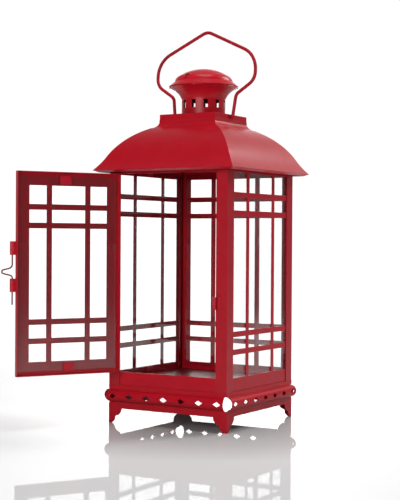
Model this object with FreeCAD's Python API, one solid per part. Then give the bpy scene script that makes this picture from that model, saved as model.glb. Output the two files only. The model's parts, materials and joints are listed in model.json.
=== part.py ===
import FreeCAD, Part
import math
import os

# Barn lantern: a square candle lantern of folded and pressed sheet steel, painted all over.
# Four angle posts carry glazed grilles on three sides and a glazed door on the fourth. A base skirt
# with bracket feet stands below, and an ogee roof with a vented chimney and a wire bail sits above.
# Millimetres, +Z up. The origin is the centre of the base, on the plane that the feet stand on.
# The door is on the -Y side with its hinges at -X, and the model rests with the door standing open.

os.makedirs("parts", exist_ok=True)
Vector = FreeCAD.Vector
UP = Vector(0, 0, 1)
ALONG_X = Vector(1, 0, 0)
ORIGIN = Vector(0, 0, 0)

# Driving dimensions of the body
BODY_HALF = 75.7            # outer faces of the posts
SHEET = 0.8                 # thickness of the steel sheet
SIDES = {"front": 0, "right": 90, "rear": 180, "left": 270}   # turns about +Z from the front
REACH = 130.0               # longer than any side, for cutters
TOTAL_HEIGHT = 450.0        # taller than the lantern, for cutters

# Base skirt
SKIRT_FACE = BODY_HALF + 0.2
SKIRT_TOP = 42.4
BULGE_TOP = 37.5
BULGE_BOTTOM = 23.7
BULGE_PROUD = 6.6
APRON_BOTTOM = 16.2
FOOT_WIDTH = 16.8
FOOT_CUSP_WIDTH = 9.0
FOOT_CUSP_HEIGHT = 7.8
FOOT_TOE = 3.2
DIAMOND_PITCH = 22.35
DIAMONDS_EACH_WAY = 3
DIAMOND_WIDTH = 9.6
DIAMOND_HEIGHT = 5.6
CORNER_HOLE_WIDTH = 10.4    # seen along the corner's diagonal
CORNER_HOLE_HEIGHT = 15.3

# Posts, panels and floor
POST_FLANGE = 13.9
POST_TOP = 291.0
PANEL_FACE = BODY_HALF - SHEET
PANEL_HALF = 72.5
LIGHT_HALF = 62.0
LIGHT_BOTTOM = 56.8
LIGHT_TOP = 277.5
CROSS_BARS = (84.6, 103.7, 233.5, 253.2)
UPRIGHT_BARS = 29.3
BAR_WIDTH = 5.9
SILL_TOP = 57.4
FLOOR_TOP = 48.0
FLOOR_FLANGE_BOTTOM = 38.2
RING_HALF = 80.6
RING_OPENING_HALF = 60.5

# Glazing
GLASS = 2.0
GLASS_GAP = 0.1
PANE_HALF = 67.5
PANE_BOTTOM = 52.0
PANE_TOP = 282.5
TAB_SHEET = 0.6
TAB_WIDTH = 13.0
FIXED_TAB_FINGER = 4.5      # hidden behind the panel's lower and upper rails
DOOR_TAB_FINGER = 8.6

# Roof section, as distances from the centre and heights on the outer face
NECK_OPENING_HALF = 30.0
ROOF_TOP = (36.3, 339.9)
NECK_FOOT = (36.3, 336.5)
NECK_BEND = (38.1, 333.0)
CROWN_START = (42.9, 330.4)
CROWN_MIDDLE = (64.3, 316.0)
FLARE_START = (79.9, 295.1)
FLARE_MIDDLE = (84.5, 288.1)
EAVE_TIP = (90.0, 281.5)
EAVE_LIP = (84.9, 279.3)

# Chimney cap, sleeve and dome
CAP_HALF = 36.0
CAP_TOP = 345.7
SLEEVE_RADIUS = 25.0
SLEEVE_BEND_TOP = 364.0
SLEEVE_RIM = (39.3, 377.4)
SLEEVE_FLANGE_RADIUS = 28.0
SLOTS = 11
SLOT_WIDTH = 4.8
SLOT_BOTTOM = 353.6
SLOT_TOP = 362.6
FIRST_SLOT_TURN = 36.5
DOME_RIM = (39.7, 378.9)
DOME_STEP = (34.4, 383.4)
DOME_SHOULDER = (27.4, 391.2)
DOME_TOP = 398.8
STARS = 3
STAR_RADIUS = 4.5
STAR_FROM_CENTRE = 28.8
FIRST_STAR_TURN = -7.7

# Bail
BAIL_WIRE = 1.9
BAIL_PIVOT = Vector(0, 0, 342.8)
BAIL_LEAN = -4.5
BAIL_HOLE_RADIUS = 1.98

# Door, drawn shut
DOOR_HINGE_EDGE = -61.0
DOOR_LATCH_EDGE = 59.5
DOOR_BOTTOM = 57.9
DOOR_TOP = 277.0
DOOR_STILE = 14.9
DOOR_DEPTH = 6.0
DOOR_CROSS_BARS = (95.1, 115.6, 219.0, 239.0)
DOOR_UPRIGHT_BARS = 22.5
DOOR_BAR_WIDTH = 6.1
DOOR_OPEN = 120.0
DOOR_PANE_BOTTOM = 62.6
DOOR_PANE_TOP = 272.3
DOOR_TOP_TAB_SHIFT = 4.3    # the top tab stands off the door's middle, toward the latch

# Door hinges
HINGE_AXIS = Vector(-62.3, -BODY_HALF - 2.25, 0)
HINGE_BOTTOMS = {"lower": 86.0, "upper": 226.0}
HINGE_HEIGHT = 24.0
KNUCKLE_RADIUS = 1.95
KNUCKLE_SPLITS = (7.4, 7.8, 16.2, 16.6)
PIN_RADIUS = 0.8
PIN_SEAT_RADIUS = 0.82
PIN_RUNNING_RADIUS = 0.86
LEAF_LENGTH = 6.0

# Latch
LATCH_AXIS = Vector(62.0, -BODY_HALF - 2.9, 0)
LATCH_WIRE = 0.75
LATCH_SLEEVE_RADIUS = 2.6
LATCH_CATCH_RADIUS = 2.3
LATCH_BORE = 1.35
LATCH_SLEEVES = {"upper": (187.5, 202.0), "lower": (148.0, 162.4)}
LATCH_CATCH = (130.5, 144.0)
LATCH_WIRE_TOP = 200.0
LATCH_WIRE_BOTTOM = 134.5


def block(x_range, y_range, z_range):
    """A box between two x, two y and two z values."""
    corner = Vector(x_range[0], y_range[0], z_range[0])
    return Part.makeBox(x_range[1] - x_range[0], y_range[1] - y_range[0], z_range[1] - z_range[0], corner)


def turned(shape, degrees, centre=ORIGIN, axis=UP):
    """A copy of a shape turned about an axis."""
    copy = shape.copy()
    copy.rotate(centre, axis, degrees)
    return copy


def path(start, *steps):
    """An open wire. Each step is an end point, or a pair of a point passed through and an end for an arc."""
    edges = []
    here = start
    for step in steps:
        if isinstance(step, tuple):
            edges.append(Part.Arc(here, step[0], step[1]).toShape())
            here = step[1]
        else:
            edges.append(Part.makeLine(here, step))
            here = step
    return Part.Wire(edges)


def plate(points, run):
    """A flat outline with straight edges, run along a vector."""
    return Part.Face(Part.makePolygon(points + points[:1])).extrude(run)


def sheet_section(wire):
    """The cut face of a sheet whose outer side follows an open wire; the thickness lies to its inner side."""
    return wire.makeOffset2D(-SHEET, 2, True, True)


def front_section_point(from_centre, height):
    """A point of a front side's section, in the plane x = 0."""
    return Vector(0, -from_centre, height)


def mitred_front(section):
    """A section in the plane x = 0 run along X and mitred at 45 degrees at both ends."""
    start = section.copy()
    start.translate(Vector(-REACH, 0, 0))
    run = start.extrude(Vector(2 * REACH, 0, 0))
    mitres = [Vector(0, 0, 0), Vector(-REACH, -REACH, 0), Vector(REACH, -REACH, 0)]
    return run.common(plate(mitres, Vector(0, 0, TOTAL_HEIGHT)))


def fused(shapes):
    """One solid from several that touch or overlap."""
    return shapes[0].multiFuse(shapes[1:]).removeSplitter()


def wire_rod(corners, radii, wire_radius):
    """A round wire bent to tangent arcs of the given radii at the inner corners."""
    edges = []
    here = corners[0]
    for before, corner, after, radius in zip(corners, corners[1:], corners[2:], radii):
        back = (before - corner).normalize()
        ahead = (after - corner).normalize()
        half_angle = back.getAngle(ahead) / 2
        arc_start = corner + back * (radius / math.tan(half_angle))
        arc_end = corner + ahead * (radius / math.tan(half_angle))
        centre = corner + (back + ahead).normalize() * (radius / math.sin(half_angle))
        middle = centre + (corner - centre).normalize() * radius
        edges.append(Part.makeLine(here, arc_start))
        edges.append(Part.Arc(arc_start, middle, arc_end).toShape())
        here = arc_end
    edges.append(Part.makeLine(here, corners[-1]))
    first_direction = corners[1] - corners[0]
    profile = Part.Wire([Part.makeCircle(wire_radius, corners[0], first_direction)])
    return Part.Wire(edges).makePipeShell([profile], True, False)


def save(node, *solids):
    """Write one node, which may be a group of separate solids."""
    shape = solids[0] if len(solids) == 1 else Part.makeCompound(list(solids))
    print(node, len(shape.Solids), "solid", round(shape.Volume, 1), "mm3", shape.isValid())
    shape.exportStep("parts/" + node + ".step")


# Base

def diamond(x, z):
    """A diamond cutter through the front of the skirt."""
    start = -REACH
    points = [Vector(x - DIAMOND_WIDTH / 2, start, z), Vector(x, start, z - DIAMOND_HEIGHT / 2),
              Vector(x + DIAMOND_WIDTH / 2, start, z), Vector(x, start, z + DIAMOND_HEIGHT / 2)]
    return plate(points, Vector(0, REACH, 0))


def arch_cutter():
    """The space between two bracket feet, whose edges are two convex scrolls."""
    def foot(side, from_corner, z):
        return Vector(side * (SKIRT_FACE - from_corner), -REACH, z)

    def foot_edge(side):
        apron_end = foot(side, FOOT_WIDTH, APRON_BOTTOM)
        upper_scroll = foot(side, FOOT_WIDTH - 2.2, 10.6)
        cusp = foot(side, FOOT_CUSP_WIDTH, FOOT_CUSP_HEIGHT)
        cusp_end = foot(side, FOOT_CUSP_WIDTH - 0.6, FOOT_CUSP_HEIGHT - 0.5)
        lower_scroll = foot(side, FOOT_CUSP_WIDTH - 1.8, 2.6)
        toe = foot(side, FOOT_TOE, 0)
        return [Part.Arc(apron_end, upper_scroll, cusp).toShape(), Part.makeLine(cusp, cusp_end),
                Part.Arc(cusp_end, lower_scroll, toe).toShape()]

    top = Part.makeLine(foot(-1, FOOT_WIDTH, APRON_BOTTOM), foot(1, FOOT_WIDTH, APRON_BOTTOM))
    bottom = Part.makeLine(foot(-1, FOOT_TOE, 0), foot(1, FOOT_TOE, 0))
    edges = Part.sortEdges([top, bottom] + foot_edge(-1) + foot_edge(1))[0]
    return Part.Face(Part.Wire(edges)).extrude(Vector(0, REACH, 0))


def corner_hole(side, z):
    """An upright oval cutter along the diagonal of the skirt's left (-1) or right (+1) front corner."""
    outward = Vector(side, -1, 0).normalize()
    across = Vector(1, side, 0).normalize()
    start = outward * (SKIRT_FACE * math.sqrt(2) - CORNER_HOLE_WIDTH) + UP * z
    crown = start + UP * (CORNER_HOLE_HEIGHT / 2)
    edge = start + across * (CORNER_HOLE_WIDTH / 2)
    oval = Part.Ellipse(crown, edge, start)
    return Part.Face(Part.Wire([oval.toShape()])).extrude(outward * (3 * CORNER_HOLE_WIDTH))


def base_skirt():
    """One side of the skirt: a flat strip, a half-round bulge with diamonds, and an apron with two feet."""
    bulge_middle = (BULGE_TOP + BULGE_BOTTOM) / 2
    outer = path(front_section_point(SKIRT_FACE, SKIRT_TOP),
                 front_section_point(SKIRT_FACE, BULGE_TOP),
                 (front_section_point(SKIRT_FACE + BULGE_PROUD, bulge_middle),
                  front_section_point(SKIRT_FACE, BULGE_BOTTOM)),
                 front_section_point(SKIRT_FACE, 0))
    skirt = mitred_front(sheet_section(outer))
    cutters = [arch_cutter()]
    for step in range(-DIAMONDS_EACH_WAY, DIAMONDS_EACH_WAY + 1):
        cutters.append(diamond(step * DIAMOND_PITCH, bulge_middle))
    cutters += [corner_hole(side, bulge_middle) for side in (-1, 1)]
    return skirt.cut(cutters)


def floor_pan():
    """The floor the candle stands on, a shallow tray turned upside down inside the skirt."""
    half = PANEL_FACE - SHEET
    outside = block((-half, half), (-half, half), (FLOOR_FLANGE_BOTTOM, FLOOR_TOP))
    inner = half - SHEET
    inside = block((-inner, inner), (-inner, inner), (0, FLOOR_TOP - SHEET))
    return outside.cut(inside)


# Body

def corner_post():
    """The front left post, an angle of two flanges."""
    heights = (SKIRT_TOP, POST_TOP)
    across = (-BODY_HALF, -BODY_HALF + POST_FLANGE)
    wall = (-BODY_HALF, -BODY_HALF + SHEET)
    return fused([block(across, wall, heights), block(wall, across, heights)])


def lights(half_width, bottom, top, upright_bars, cross_bars, bar_width, centre=0.0):
    """Cutters for a grid of lights, divided by two upright bars and several cross bars."""
    def spans(edges_low, bars, edge_high):
        lows = [edges_low] + [bar + bar_width / 2 for bar in bars]
        highs = [bar - bar_width / 2 for bar in bars] + [edge_high]
        return list(zip(lows, highs))

    columns = spans(centre - half_width, (centre - upright_bars, centre + upright_bars), centre + half_width)
    rows = spans(bottom, cross_bars, top)
    return [block(column, (-REACH, 0), row) for column in columns for row in rows]


def grille():
    """A fixed panel at the front, cut into fifteen lights."""
    panel = block((-PANEL_HALF, PANEL_HALF), (-PANEL_FACE, -PANEL_FACE + SHEET), (SKIRT_TOP, POST_TOP))
    return panel.cut(lights(LIGHT_HALF, LIGHT_BOTTOM, LIGHT_TOP, UPRIGHT_BARS, CROSS_BARS, BAR_WIDTH))


def pane():
    """The glass behind a fixed panel at the front."""
    outer = -PANEL_FACE + SHEET + GLASS_GAP
    return block((-PANE_HALF, PANE_HALF), (outer, outer + GLASS), (PANE_BOTTOM, PANE_TOP))


def glass_tab(root, centre, edge, foot_height, finger_length, inward):
    """A stepped tab on a sheet whose inner side is at y = root, bent over one end of the pane on that sheet.

    edge is the pane's end; inward is +1 at the bottom of the pane and -1 at its top.
    """
    across = (centre - TAB_WIDTH / 2, centre + TAB_WIDTH / 2)
    finger = root + GLASS_GAP + GLASS + GLASS_GAP
    clear = edge - inward * GLASS_GAP
    beyond = clear - inward * TAB_SHEET
    foot = block(across, (root, root + TAB_SHEET), sorted((clear, clear - inward * foot_height)))
    step = block(across, (root, finger + TAB_SHEET), sorted((clear, beyond)))
    grip = block(across, (finger, finger + TAB_SHEET), sorted((beyond, edge + inward * finger_length)))
    return fused([foot, step, grip])


def fixed_tab(edge, inward):
    """A tab on a fixed panel at the front."""
    return glass_tab(-PANEL_FACE + SHEET, 0.0, edge, 1.7, FIXED_TAB_FINGER, inward)


def front_rail(bottom, top):
    """A plain rail across the front, behind the posts."""
    return block((-PANEL_HALF, PANEL_HALF), (-PANEL_FACE, -PANEL_FACE + SHEET), (bottom, top))


def top_ring():
    """The flat ring that ties the posts together and carries the roof."""
    outer = block((-RING_HALF, RING_HALF), (-RING_HALF, RING_HALF), (POST_TOP, POST_TOP + SHEET))
    half = RING_OPENING_HALF
    return outer.cut(block((-half, half), (-half, half), (0, TOTAL_HEIGHT)))


def roof_clip():
    """A small angle on the front of the top ring, which the roof is welded to."""
    across = (-8.0, 8.0)
    base = POST_TOP + SHEET
    lying = block(across, (-75.4, -66.0), (base, base + SHEET))
    standing = block(across, (-75.4, -75.4 + SHEET), (base, base + 8.0))
    return fused([lying, standing])


# Roof and chimney

def roof_shell():
    """The ogee roof: four mitred sides with a rolled-in eave and a square neck."""
    points = [front_section_point(*pair) for pair in
              (ROOF_TOP, NECK_FOOT, NECK_BEND, CROWN_START, CROWN_MIDDLE, FLARE_START, FLARE_MIDDLE,
               EAVE_TIP, EAVE_LIP)]
    top, neck, bend, crown, crown_middle, flare, flare_middle, tip, lip = points
    outer = path(front_section_point(NECK_OPENING_HALF, ROOF_TOP[1]), top, neck, (bend, crown),
                 (crown_middle, flare), (flare_middle, tip), lip)
    side = mitred_front(sheet_section(outer))
    return fused([turned(side, turn) for turn in SIDES.values()])


def chimney_plate():
    """The square cap on the roof's neck, with the chimney's hole and the bail's two pivot holes."""
    bottom = ROOF_TOP[1]
    inner = CAP_HALF - SHEET
    cap = block((-CAP_HALF, CAP_HALF), (-CAP_HALF, CAP_HALF), (bottom, CAP_TOP))
    hollow = block((-inner, inner), (-inner, inner), (bottom, CAP_TOP - SHEET))
    hole = Part.makeCylinder(SLEEVE_RADIUS + 0.05, TOTAL_HEIGHT)
    pivots = Part.makeCylinder(BAIL_HOLE_RADIUS, 2 * REACH, BAIL_PIVOT - ALONG_X * REACH, ALONG_X)
    return cap.cut([hollow, hole, pivots])


def revolved(outer):
    """A sheet turned about the lantern's upright centre line from the outer side of its section."""
    return sheet_section(outer).revolve(ORIGIN, UP, 360)


def radial_point(radius, height):
    """A point of a turned section, in the plane y = 0."""
    return Vector(radius, 0, height)


def chimney_sleeve():
    """The round sleeve with a flange under the cap, a ring of slots and a flared top."""
    flange = CAP_TOP - SHEET
    outer = path(radial_point(*SLEEVE_RIM),
                 (radial_point(29.0, 370.9), radial_point(SLEEVE_RADIUS, SLEEVE_BEND_TOP)),
                 radial_point(SLEEVE_RADIUS, flange),
                 radial_point(SLEEVE_FLANGE_RADIUS, flange))
    sleeve = revolved(outer)
    slot = block((0, REACH), (-SLOT_WIDTH / 2, SLOT_WIDTH / 2), (SLOT_BOTTOM, SLOT_TOP))
    slots = [turned(slot, FIRST_SLOT_TURN - 90 + step * 360 / SLOTS) for step in range(SLOTS)]
    return sleeve.cut(slots)


def star_cutter():
    """A five-pointed star cutter, upright over the dome's front."""
    points = []
    for step in range(10):
        radius = STAR_RADIUS if step % 2 == 0 else STAR_RADIUS * 0.42
        angle = math.radians(-90 + step * 36)
        points.append(Vector(radius * math.cos(angle), radius * math.sin(angle) - STAR_FROM_CENTRE,
                             DOME_STEP[1]))
    return plate(points, Vector(0, 0, DOME_TOP))


def chimney_dome():
    """The domed cap over the chimney, pierced by three stars."""
    shoulder = radial_point(*DOME_SHOULDER)
    outer = path(radial_point(0.0, DOME_TOP),
                 (radial_point(14.6, 396.9), shoulder),
                 (radial_point(31.6, 388.0), radial_point(33.3, 384.2)),
                 radial_point(*DOME_STEP),
                 radial_point(*DOME_RIM))
    dome = Part.Face(outer.makeOffset2D(-SHEET, 2, True, True).Wires[0]).revolve(ORIGIN, UP, 360)
    return dome.cut([turned(star_cutter(), FIRST_STAR_TURN + step * 360 / STARS) for step in range(STARS)])


# Bail

def bail_handle():
    """The wire bail: hooked into the cap, bowed out round the chimney and raised to a soft point."""
    def at(x, height):
        return Vector(x, 0, height)

    right = [at(30.5, BAIL_PIVOT.z), at(38.1, BAIL_PIVOT.z), at(41.2, 368.6), at(64.6, 384.2),
             at(64.6, 412.4)]
    left = [at(-point.x, point.z) for point in reversed(right)]
    radii = [2.2, 9.0, 16.0, 27.0]
    rod = wire_rod(right + [at(0, 443.2)] + left, radii + [13.0] + radii[::-1], BAIL_WIRE)
    return turned(rod, BAIL_LEAN, BAIL_PIVOT, ALONG_X)


# Door, drawn shut and then swung to its resting place

def swung(shape):
    """A door piece swung open about the hinge pins."""
    return turned(shape, -DOOR_OPEN, HINGE_AXIS, UP)


def door_frame():
    """The pressed door: a face cut into fifteen lights, with its edge turned inward all round."""
    wide = (DOOR_HINGE_EDGE, DOOR_LATCH_EDGE)
    pan = block(wide, (-BODY_HALF, -BODY_HALF + DOOR_DEPTH), (DOOR_BOTTOM, DOOR_TOP))
    hollow = block((wide[0] + SHEET, wide[1] - SHEET), (-BODY_HALF + SHEET, 0),
                   (DOOR_BOTTOM + SHEET, DOOR_TOP - SHEET))
    centre = (DOOR_HINGE_EDGE + DOOR_LATCH_EDGE) / 2
    half = (DOOR_LATCH_EDGE - DOOR_HINGE_EDGE) / 2 - DOOR_STILE
    openings = lights(half, DOOR_BOTTOM + DOOR_STILE, DOOR_TOP - DOOR_STILE, DOOR_UPRIGHT_BARS,
                      DOOR_CROSS_BARS, DOOR_BAR_WIDTH, centre)
    return pan.cut([hollow] + openings)


def door_glass():
    """The door's pane, behind its face."""
    outer = -BODY_HALF + SHEET + GLASS_GAP
    return block((DOOR_HINGE_EDGE + 4.3, DOOR_LATCH_EDGE - 1.6), (outer, outer + GLASS),
                 (DOOR_PANE_BOTTOM, DOOR_PANE_TOP))


def door_tab(shift, edge, inward):
    """A tab on the door, off its middle by a shift toward the latch."""
    centre = (DOOR_HINGE_EDGE + DOOR_LATCH_EDGE) / 2 + shift
    return glass_tab(-BODY_HALF + SHEET, centre, edge, 3.0, DOOR_TAB_FINGER, inward)


def knuckle(bottom, top, bore):
    """One rolled knuckle of a hinge."""
    foot = HINGE_AXIS + UP * bottom
    roll = Part.makeCylinder(KNUCKLE_RADIUS, top - bottom, foot)
    return roll.cut(Part.makeCylinder(bore, top - bottom, foot))


def hinge_bore(radius):
    """A cutter for the whole pin hole."""
    return Part.makeCylinder(radius, TOTAL_HEIGHT, HINGE_AXIS)


def post_leaf(bottom):
    """The leaf on the post, with a knuckle at each end."""
    first, _, _, last = KNUCKLE_SPLITS
    spans = [(bottom, bottom + first), (bottom + last, bottom + HINGE_HEIGHT)]
    wall = (-BODY_HALF - SHEET, -BODY_HALF)
    edge = HINGE_AXIS.x - 2.4
    pieces = [block((edge - LEAF_LENGTH, edge), wall, (bottom, bottom + HINGE_HEIGHT))]
    for low, high in spans:
        pieces.append(knuckle(low, high, PIN_SEAT_RADIUS))
        pieces.append(block((edge, HINGE_AXIS.x), wall, (low, high)))
    return fused(pieces).cut(hinge_bore(PIN_SEAT_RADIUS))


def door_leaf(bottom):
    """The leaf on the door, with one knuckle in the middle."""
    _, low, high, _ = KNUCKLE_SPLITS
    span = (bottom + low, bottom + high)
    edge = HINGE_AXIS.x + 2.3
    wall = (-BODY_HALF - SHEET, -BODY_HALF)
    leaf = block((edge, edge + LEAF_LENGTH), wall, (bottom, bottom + HINGE_HEIGHT))
    curl = block((HINGE_AXIS.x + 1.1, edge), (-BODY_HALF - 1.6, -BODY_HALF), span)
    return fused([leaf, curl, knuckle(span[0], span[1], PIN_RUNNING_RADIUS)])


def hinge_pin(bottom):
    """A pin with a small head at each end."""
    shank = Part.makeCylinder(PIN_RADIUS, HINGE_HEIGHT + 1.0, HINGE_AXIS + UP * (bottom - 0.5))
    heads = [Part.makeCylinder(1.5, 0.5, HINGE_AXIS + UP * height)
             for height in (bottom - 0.55, bottom + HINGE_HEIGHT + 0.05)]
    return fused([shank] + heads)


# Latch

def rolled_sleeve(radius, heights, leaf_range):
    """A rolled tube for the latch wire, with a leaf on the face behind it."""
    foot = LATCH_AXIS + UP * heights[0]
    height = heights[1] - heights[0]
    tube = Part.makeCylinder(radius, height, foot)
    leaf = block(leaf_range, (-BODY_HALF - SHEET, -BODY_HALF), heights)
    return fused([tube, leaf]).cut(Part.makeCylinder(LATCH_BORE, height, foot))


def latch_wire():
    """The sliding wire, with a thumb loop bent out between the two sleeves."""
    outward = Vector(math.cos(math.radians(-20)), math.sin(math.radians(-20)), 0)

    def at(out, height):
        return LATCH_AXIS + outward * out + UP * height

    corners = [at(0, LATCH_WIRE_TOP), at(0, 174.0), at(10.9, 171.2), at(10.9, 168.0), at(0, 165.2),
               at(0, LATCH_WIRE_BOTTOM)]
    return wire_rod(corners, [4.5, 1.7, 1.7, 3.0], LATCH_WIRE)


for side, turn in SIDES.items():
    save("base_skirt_" + side, turned(base_skirt(), turn))
save("floor_pan", floor_pan())
for corner, turn in {"front_left": 0, "front_right": 90, "rear_right": 180, "rear_left": 270}.items():
    save("post_" + corner, turned(corner_post(), turn))
save("front_sill", front_rail(SKIRT_TOP, SILL_TOP))
save("front_header", front_rail(LIGHT_TOP, POST_TOP))
for side in ("right", "rear", "left"):
    turn = SIDES[side]
    save("grille_" + side, turned(grille(), turn))
    save("glass_" + side, turned(pane(), turn))
    save("glass_tabs_" + side, turned(fixed_tab(PANE_BOTTOM, 1), turn), turned(fixed_tab(PANE_TOP, -1), turn))
save("top_ring", top_ring())
save("roof_clips", *[turned(roof_clip(), turn) for turn in SIDES.values()])
save("roof_shell", roof_shell())
save("chimney_plate", chimney_plate())
save("chimney_sleeve", chimney_sleeve())
save("chimney_dome", chimney_dome())
save("bail_handle", bail_handle())
save("door_frame", swung(door_frame()))
save("door_glass", swung(door_glass()))
save("door_glass_tab_bottom", swung(door_tab(0.0, DOOR_PANE_BOTTOM, 1)))
save("door_glass_tab_top", swung(door_tab(DOOR_TOP_TAB_SHIFT, DOOR_PANE_TOP, -1)))
for place, bottom in HINGE_BOTTOMS.items():
    save("hinge_post_leaf_" + place, post_leaf(bottom))
    save("hinge_pin_" + place, hinge_pin(bottom))
    save("hinge_door_leaf_" + place, swung(door_leaf(bottom)))
for place, heights in LATCH_SLEEVES.items():
    sleeve = rolled_sleeve(LATCH_SLEEVE_RADIUS, heights, (49.5, LATCH_AXIS.x - 0.3))
    save("latch_sleeve_" + place, swung(sleeve))
save("latch_catch", rolled_sleeve(LATCH_CATCH_RADIUS, LATCH_CATCH, (LATCH_AXIS.x + 0.3, 68.0)))
save("latch_wire", swung(latch_wire()))
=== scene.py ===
import bpy
import json
import math
from mathutils import Matrix, Vector

# Barn lantern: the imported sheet-metal model with its enamel and glass, on a pale glossy floor.

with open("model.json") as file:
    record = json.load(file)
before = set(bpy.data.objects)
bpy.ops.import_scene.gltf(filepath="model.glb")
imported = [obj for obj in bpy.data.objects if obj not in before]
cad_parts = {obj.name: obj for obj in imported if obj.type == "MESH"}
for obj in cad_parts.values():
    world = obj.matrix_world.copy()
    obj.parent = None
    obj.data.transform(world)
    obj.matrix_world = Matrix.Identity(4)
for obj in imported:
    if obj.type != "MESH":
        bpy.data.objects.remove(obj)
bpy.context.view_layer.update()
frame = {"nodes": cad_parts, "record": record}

MM = 0.001
WHITE = (1.0, 1.0, 1.0)
STAGE_UNIT = 0.150              # the places of the camera and the softboxes are given in this length

# The enamel
PAINTED_SHADE_DISTANCE = 100 * MM       # how far it looks for the walls around it, to paint shade in seams and inside the body
EDGE_RADIUS = 0.3 * MM          # how far it rounds off the edge of a sheet
BLOTCH_DARKNESS = 0.82          # the blotches' colour beside the dark tone

# The backdrop's white, and the glow of the room as the lantern itself sees it
WHITE_SEEN = 1.03
WHITE_THROUGH_GLASS = 0.27      # added where it is seen through glass
BACKDROP_WAY = (-0.515, 0.857, 0.0)
BACKDROP_WIDE = (2.0, 0.6)      # how much a glow narrows toward its middle, and its strength
BACKDROP_CORE = (26.0, 7.0)
ROOM_GLOW = 0.09

# The floor; the positions in its ramps are parts of FLOOR_REACH, from the lantern outward
FLOOR_HALF_WIDTH = 60.0
FLOOR_DROP = 0.05 * MM          # keeps it clear of the feet's undersides
FLOOR_REACH = 3.0
# The floor's grey along the reach, paler away from the lantern: painted light where the softboxes
# reach less.
FLOOR_PAINTED_LIGHT = [(0.03, 0.54), (0.06, 0.66), (0.09, 0.84), (0.3, 0.72)]
FLOOR_POLISH = [(0.03, 0.20), (0.09, 0.08), (0.2, 0.10), (0.85, 0.28)]
FLOOR_FADE = (0.18, 0.40)       # where its fade into the backdrop's white starts and ends

# The softboxes: name, place, aim and the length of a side in STAGE_UNITs, and the power in watts
SOFTBOXES = [
    ("front_softbox", (1.6, -11.5, 4.3), (0.0, 0.0, 1.4), 6.0, 12.8),
    ("top_softbox", (1.4, -1.4, 12.2), (0.0, 0.0, 1.6), 5.0, 10.5),
    ("right_softbox", (5.6, 7.8, 8.6), (0.0, 0.0, 1.4), 4.0, 15.5),
]

# The camera, with its place in STAGE_UNITs
VIEW_AZIMUTH = math.radians(31.05)
VIEW_PITCH = math.radians(-0.457)
VIEW_ROLL = math.radians(0.343)
VIEW_DISTANCE = 9.2925
VIEW_SHIFT = -0.0208
VIEW_HEIGHT = 1.3617
VIEW_LENS = 88.0
VIEW_SENSOR = 36.0
VIEW_CLIP = 200.0

# A Mix node has sockets of every data type; these are the places of the ones for colours.
MIX_FACTOR, MIX_FIRST, MIX_SECOND, MIX_RESULT = 0, 6, 7, 2


# Materials

class Nodes:
    """A material's node tree, with short calls for the nodes used here."""

    def __init__(self, name):
        self.material = bpy.data.materials.new(name)
        self.material.use_nodes = True
        self.tree = self.material.node_tree
        self.shader = self.tree.nodes["Principled BSDF"]
        self.place = self.tree.nodes.new("ShaderNodeTexCoord").outputs["Object"]

    def set(self, **values):
        """Set the shader's own sockets; an underscore in a name stands for a space."""
        for name, value in values.items():
            self.shader.inputs[name.replace("_", " ")].default_value = value

    def link(self, source, target):
        self.tree.links.new(source, target)

    def noise(self, scale, detail, roughness=0.5, distortion=0.0, source=None):
        node = self.tree.nodes.new("ShaderNodeTexNoise")
        node.inputs["Scale"].default_value = scale
        node.inputs["Detail"].default_value = detail
        node.inputs["Roughness"].default_value = roughness
        node.inputs["Distortion"].default_value = distortion
        self.link(source or self.place, node.inputs["Vector"])
        return node.outputs["Fac"]

    def stretched(self, factors):
        """The object's coordinates scaled along each axis."""
        node = self.tree.nodes.new("ShaderNodeMapping")
        node.inputs["Scale"].default_value = factors
        self.link(self.place, node.inputs["Vector"])
        return node.outputs["Vector"]

    def ramp(self, source, stops):
        """A colour ramp of (position, colour or grey) stops."""
        node = self.tree.nodes.new("ShaderNodeValToRGB")
        elements = node.color_ramp.elements
        while len(elements) < len(stops):
            elements.new(0.5)
        for element, (position, tone) in zip(elements, stops):
            colour = (tone, tone, tone) if isinstance(tone, float) else tone
            element.position = position
            element.color = (*colour, 1)
        self.link(source, node.inputs["Fac"])
        return node.outputs["Color"]

    def map_range(self, source, low, high, from_low, from_high):
        node = self.tree.nodes.new("ShaderNodeMapRange")
        node.inputs["From Min"].default_value = from_low
        node.inputs["From Max"].default_value = from_high
        node.inputs["To Min"].default_value = low
        node.inputs["To Max"].default_value = high
        self.link(source, node.inputs["Value"])
        return node.outputs["Result"]

    def mix(self, factor, first, second, mode="MIX"):
        """Mix two colours; the factor and each colour may be a socket or a value."""
        node = self.tree.nodes.new("ShaderNodeMix")
        node.data_type = "RGBA"
        node.blend_type = mode
        for index, value in ((MIX_FACTOR, factor), (MIX_FIRST, first), (MIX_SECOND, second)):
            socket = node.inputs[index]
            if isinstance(value, bpy.types.NodeSocket):
                self.link(value, socket)
            elif isinstance(value, float):
                socket.default_value = value
            else:
                socket.default_value = (*value, 1)
        return node.outputs[MIX_RESULT]

    def rounded(self, radius):
        """Normals eased over the piece's sharp edges, as enamel flows over them."""
        node = self.tree.nodes.new("ShaderNodeBevel")
        node.samples = 6
        node.inputs["Radius"].default_value = radius
        return node.outputs["Normal"]

    def enclosure(self, distance):
        """1 in the open, down to 0 where there are walls all around within the distance."""
        node = self.tree.nodes.new("ShaderNodeAmbientOcclusion")
        node.samples = 8
        node.inputs["Distance"].default_value = distance
        return node.outputs["AO"]

    def bump(self, height, distance, strength, below=None):
        node = self.tree.nodes.new("ShaderNodeBump")
        node.inputs["Distance"].default_value = distance
        node.inputs["Strength"].default_value = strength
        self.link(height, node.inputs["Height"])
        if below is not None:
            self.link(below, node.inputs["Normal"])
        return node.outputs["Normal"]


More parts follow.
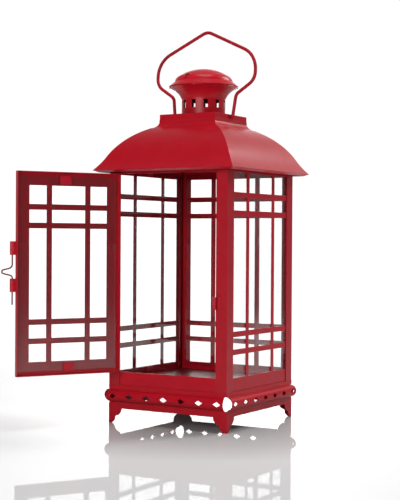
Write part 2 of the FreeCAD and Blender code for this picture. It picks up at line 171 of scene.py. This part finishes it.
def enamel(name, light, dark, rough_low, rough_high, *, shine, peel=1.0, painted_shade_level=0.65):
    """Baked red enamel: slow tone changes, orange-peel bump, faint dents, dust nibs, uneven gloss.

    shine is the specular level. peel scales the bumps, down to a small value on thin wire, where
    they would break up its shine. The colour is scaled down to the shade level in seams and inside
    the
    body, where walls close all round: painted shade.
    """
    nodes = Nodes(name)
    sockets = nodes.shader.inputs

    cloud = nodes.noise(scale=14.0, detail=4.0, roughness=0.6)
    tone = nodes.ramp(cloud, [(0.3, dark), (0.7, light)])
    fleck = nodes.noise(scale=70.0, detail=2.0)
    blotch = nodes.map_range(fleck, low=0.0, high=0.35, from_low=0.35, from_high=0.75)
    shade = tuple(channel * BLOTCH_DARKNESS for channel in dark)
    # Painted shade: the colour darkens in seams and inside the body, where walls close round the
    # surface.
    painted_shade = nodes.map_range(nodes.enclosure(PAINTED_SHADE_DISTANCE), low=painted_shade_level, high=1.0,
                            from_low=0.12, from_high=0.55)
    colour = nodes.mix(1.0, nodes.mix(blotch, tone, shade), painted_shade, "MULTIPLY")
    nodes.link(colour, sockets["Base Color"])

    gloss = nodes.noise(scale=45.0, detail=5.0, roughness=0.65)
    uneven = nodes.map_range(gloss, low=rough_low, high=rough_high, from_low=0.3, from_high=0.7)
    nodes.link(uneven, sockets["Roughness"])

    dent = nodes.noise(scale=22.0, detail=1.0)
    dents = nodes.bump(dent, distance=0.9 * MM, strength=0.25 * peel,
                       below=nodes.rounded(EDGE_RADIUS))
    orange_peel = nodes.noise(scale=520.0, detail=2.0, roughness=0.55)
    skin = nodes.bump(orange_peel, distance=0.06 * MM, strength=0.5 * peel, below=dents)
    nibs = nodes.ramp(nodes.noise(scale=1500.0, detail=0.0), [(0.72, 0.0), (0.8, 1.0)])
    dusty = nodes.bump(nibs, distance=0.04 * MM, strength=0.5 * peel, below=skin)
    nodes.link(dusty, sockets["Normal"])

    nodes.set(Metallic=0.0, IOR=1.5, Specular_IOR_Level=shine, Coat_Weight=0.04, Coat_Roughness=0.2)
    return nodes.material


def clear_glass(name, shine):
    """Flat window glass with faint smears and a slight waviness; shine is its specular level."""
    nodes = Nodes(name)
    sockets = nodes.shader.inputs

    smear = nodes.noise(scale=9.0, detail=5.0, roughness=0.7, distortion=0.6,
                        source=nodes.stretched((1.0, 1.0, 0.35)))
    dull = nodes.map_range(smear, low=0.0, high=0.04, from_low=0.5, from_high=0.85)
    nodes.link(dull, sockets["Roughness"])

    wave = nodes.noise(scale=6.0, detail=1.0, roughness=0.4,
                       source=nodes.stretched((1.0, 1.0, 0.5)))
    nodes.link(nodes.bump(wave, distance=0.2 * MM, strength=0.05), sockets["Normal"])

    tint = nodes.ramp(smear, [(0.3, (0.99, 0.995, 0.993)), (0.85, (0.965, 0.97, 0.97))])
    nodes.link(tint, sockets["Base Color"])
    nodes.set(Transmission_Weight=1.0, IOR=1.5, Metallic=0.0, Specular_IOR_Level=shine)
    return nodes.material


def maths(tree, operation, first, second):
    """A Math node of a socket with a second socket or a value."""
    node = tree.nodes.new("ShaderNodeMath")
    node.operation = operation
    tree.links.new(first, node.inputs[0])
    if isinstance(second, float):
        node.inputs[1].default_value = second
    else:
        tree.links.new(second, node.inputs[1])
    return node.outputs[0]


def straight_ray(tree):
    """1 on a ray that is seen directly or through glass alone, and 0 after any other bounce."""
    ray = tree.nodes.new("ShaderNodeLightPath").outputs
    bounces = maths(tree, "ADD", ray["Diffuse Depth"], ray["Glossy Depth"])
    no_bounce = maths(tree, "LESS_THAN", bounces, 0.5)
    through_glass = maths(tree, "MULTIPLY", ray["Is Transmission Ray"], no_bounce)
    return maths(tree, "MAXIMUM", ray["Is Camera Ray"], through_glass)


def white_level(tree):
    """The backdrop's white, stronger through glass, to make up for what the glass holds back."""
    ray = tree.nodes.new("ShaderNodeLightPath").outputs
    more = maths(tree, "MULTIPLY", ray["Is Transmission Ray"], WHITE_THROUGH_GLASS)
    return maths(tree, "ADD", more, WHITE_SEEN)


def floor_gloss(name):
    """Pale sheet with a weak mirror finish near the lantern, which fades into white farther off."""
    nodes = Nodes(name)
    tree = nodes.tree
    distance = tree.nodes.new("ShaderNodeVectorMath")
    distance.operation = "LENGTH"
    nodes.link(nodes.place, distance.inputs[0])
    reach = nodes.map_range(distance.outputs["Value"], low=0.0, high=1.0,
                            from_low=0.0, from_high=FLOOR_REACH)
    haze = nodes.noise(scale=3.0, detail=3.0, roughness=0.6)

    cloud = nodes.ramp(haze, [(0.3, (0.96, 0.96, 0.965)), (0.7, WHITE)])
    # Painted light: the floor's grey rises away from the lantern, where the softboxes reach less.
    pale = nodes.mix(1.0, nodes.ramp(reach, FLOOR_PAINTED_LIGHT), cloud, "MULTIPLY")
    nodes.link(pale, nodes.shader.inputs["Base Color"])
    nodes.set(Roughness=0.8, Specular_IOR_Level=0.0)

    mirror = tree.nodes.new("ShaderNodeBsdfPrincipled")
    mirror.inputs["Metallic"].default_value = 1.0
    mirror.inputs["Base Color"].default_value = (*WHITE, 1)
    dull = nodes.map_range(haze, low=0.015, high=0.03, from_low=0.3, from_high=0.7)
    nodes.link(dull, mirror.inputs["Roughness"])
    polished = tree.nodes.new("ShaderNodeMixShader")
    nodes.link(nodes.ramp(reach, FLOOR_POLISH), polished.inputs["Fac"])
    nodes.link(nodes.shader.outputs["BSDF"], polished.inputs[1])
    nodes.link(mirror.outputs["BSDF"], polished.inputs[2])

    white = tree.nodes.new("ShaderNodeEmission")
    nodes.link(white_level(tree), white.inputs["Strength"])
    far = nodes.map_range(reach, 0.0, 1.0, *FLOOR_FADE)
    faded = tree.nodes.new("ShaderNodeMixShader")
    nodes.link(maths(tree, "MULTIPLY", far, straight_ray(tree)), faded.inputs["Fac"])
    nodes.link(polished.outputs["Shader"], faded.inputs[1])
    nodes.link(white.outputs["Emission"], faded.inputs[2])
    nodes.link(faded.outputs["Shader"], tree.nodes["Material Output"].inputs["Surface"])
    return nodes.material


# The reds, each with its light tone, its dark tone, and its lowest and highest roughness
SHEET_RED = ((0.57, 0.0060, 0.019), (0.52, 0.0050, 0.017), 0.28, 0.38)
# A darker copy of the sheet red for the posts and the header: painted shade.
POST_SHADED_RED = ((0.52, 0.0056, 0.018), (0.48, 0.0048, 0.016), 0.28, 0.38)
# A lighter copy of the sheet red for the chimney dome: painted light.
DOME_LIT_RED = ((0.66, 0.0080, 0.024), (0.60, 0.0070, 0.021), 0.30, 0.40)
# A darker copy of the sheet red for the floor pan: painted shade inside the body.
FLOOR_PAN_SHADED_RED = ((0.34, 0.0035, 0.010), (0.24, 0.0025, 0.008), 0.42, 0.60)
SMALL_RED = ((0.62, 0.012, 0.03), (0.54, 0.009, 0.024), 0.24, 0.34)
BAIL_RED = ((0.50, 0.008, 0.022), (0.45, 0.006, 0.018), 0.38, 0.46)
LATCH_RED = ((0.26, 0.004, 0.012), (0.20, 0.003, 0.010), 0.40, 0.50)

# A node's material goes by the start of its name, or else by its slot in the record.
SLOT_MATERIALS = {
    "red_enamel_sheet": enamel("roof_enamel", *SHEET_RED, shine=0.31),
    "red_enamel_small_parts": enamel("small_part_enamel", *SMALL_RED, shine=0.4, peel=0.7),
    "red_enamel_wire": enamel("bail_enamel", *BAIL_RED, shine=0.2, peel=0.05),
    "clear_glass": clear_glass("window_glass", shine=0.28),
}
# The posts, the floor pan, the dome and the sleeve take the deepest painted shade inside the body.
POST_ENAMEL = enamel("post_enamel", *POST_SHADED_RED, shine=0.32, painted_shade_level=0.25)
BASE_ENAMEL = enamel("base_enamel", *SHEET_RED, shine=0.18)
OWN_MATERIALS = {
    "base_skirt_": BASE_ENAMEL,
    "front_sill": BASE_ENAMEL,
    "floor_pan": enamel("floor_enamel", *FLOOR_PAN_SHADED_RED, shine=0.25, painted_shade_level=0.3),
    "post_": POST_ENAMEL,
    "front_header": POST_ENAMEL,
    "grille_": enamel("grille_enamel", *SHEET_RED, shine=0.22, painted_shade_level=1.0),
    "chimney_dome": enamel("dome_enamel", *DOME_LIT_RED, shine=0.26, painted_shade_level=0.1),
    "chimney_sleeve": enamel("sleeve_enamel", *SHEET_RED, shine=0.31, painted_shade_level=0.3),
    "chimney_plate": enamel("cap_enamel", *SHEET_RED, shine=0.2),
    "door_frame": enamel("door_enamel", *SHEET_RED, shine=0.42, painted_shade_level=1.0),
    "latch_wire": enamel("latch_wire_enamel", *LATCH_RED, shine=0.15, peel=0.05),
}


def finish_nodes():
    """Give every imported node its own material, or the one of its record slot."""
    slots = {row["node"]: row["material_slot"] for row in frame["record"]["subparts"]}
    for node, piece in frame["nodes"].items():
        own = [made for start, made in OWN_MATERIALS.items() if node.startswith(start)]
        material = own[0] if own else SLOT_MATERIALS[slots[node]]
        for holder in piece.material_slots:
            holder.material = material
        if not piece.material_slots:
            piece.data.materials.append(material)


# Stage

def stage_floor():
    """A large pale glossy floor just under the feet."""
    half = FLOOR_HALF_WIDTH
    corners = [(-half, -half, 0), (half, -half, 0), (half, half, 0), (-half, half, 0)]
    mesh = bpy.data.meshes.new("floor")
    mesh.from_pydata(corners, [], [(0, 1, 2, 3)])
    floor = bpy.data.objects.new("floor", mesh)
    floor.location.z = -FLOOR_DROP
    bpy.context.collection.objects.link(floor)
    floor.data.materials.append(floor_gloss("floor_acrylic"))


def studio_world():
    """White to the camera; to the lantern, a glowing backdrop behind it in a dim room."""
    world = bpy.data.worlds.new("studio")
    bpy.context.scene.world = world
    world.use_nodes = True
    tree = world.node_tree

    place = tree.nodes.new("ShaderNodeTexCoord")
    facing = tree.nodes.new("ShaderNodeVectorMath")
    facing.operation = "DOT_PRODUCT"
    tree.links.new(place.outputs["Generated"], facing.inputs[0])
    facing.inputs[1].default_value = BACKDROP_WAY
    toward = maths(tree, "MAXIMUM", facing.outputs["Value"], 0.0)
    wide, core = (maths(tree, "MULTIPLY", maths(tree, "POWER", toward, narrowing), strength)
                  for narrowing, strength in (BACKDROP_WIDE, BACKDROP_CORE))
    glow = maths(tree, "ADD", maths(tree, "ADD", wide, core), ROOM_GLOW)

    mix = tree.nodes.new("ShaderNodeMix")
    mix.data_type = "RGBA"
    tree.links.new(straight_ray(tree), mix.inputs[MIX_FACTOR])
    tree.links.new(glow, mix.inputs[MIX_FIRST])
    tree.links.new(white_level(tree), mix.inputs[MIX_SECOND])
    tree.links.new(mix.outputs[MIX_RESULT], tree.nodes["Background"].inputs["Color"])


def softbox(name, place, aim, side, power):
    """A square light that the camera doesn't see, aimed from its place at another."""
    data = bpy.data.lights.new(name, "AREA")
    data.shape = "RECTANGLE"
    data.size = side * STAGE_UNIT
    data.size_y = side * STAGE_UNIT
    data.energy = power
    light = bpy.data.objects.new(name, data)
    light.location = Vector(place) * STAGE_UNIT
    way = (Vector(aim) - Vector(place)).normalized()
    light.rotation_euler = way.to_track_quat("-Z", "Y").to_euler()
    light.visible_camera = False
    bpy.context.collection.objects.link(light)


def camera():
    """A long lens at the middle of the body's height, right of the door side and almost level."""
    away = Vector((math.sin(VIEW_AZIMUTH), -math.cos(VIEW_AZIMUTH), 0))
    right = Vector((math.cos(VIEW_AZIMUTH), math.sin(VIEW_AZIMUTH), 0))
    flat = math.cos(VIEW_PITCH)
    forward = Vector((-away.x * flat, -away.y * flat, math.sin(VIEW_PITCH)))
    up = right.cross(forward)
    level = math.cos(VIEW_ROLL) * right + math.sin(VIEW_ROLL) * up
    upright = math.cos(VIEW_ROLL) * up - math.sin(VIEW_ROLL) * right
    height = Vector((0, 0, VIEW_HEIGHT))
    place = STAGE_UNIT * (VIEW_DISTANCE * away + VIEW_SHIFT * right + height)

    data = bpy.data.cameras.new("view")
    data.lens = VIEW_LENS
    data.sensor_width = VIEW_SENSOR
    data.clip_end = VIEW_CLIP
    view = bpy.data.objects.new("view", data)
    turn = Matrix((level, upright, -forward)).transposed().to_4x4()
    view.matrix_world = Matrix.Translation(place) @ turn
    bpy.context.collection.objects.link(view)
    bpy.context.scene.camera = view


finish_nodes()
stage_floor()
studio_world()
for row in SOFTBOXES:
    softbox(*row)
camera()
bpy.context.scene.view_settings.view_transform = "Standard"
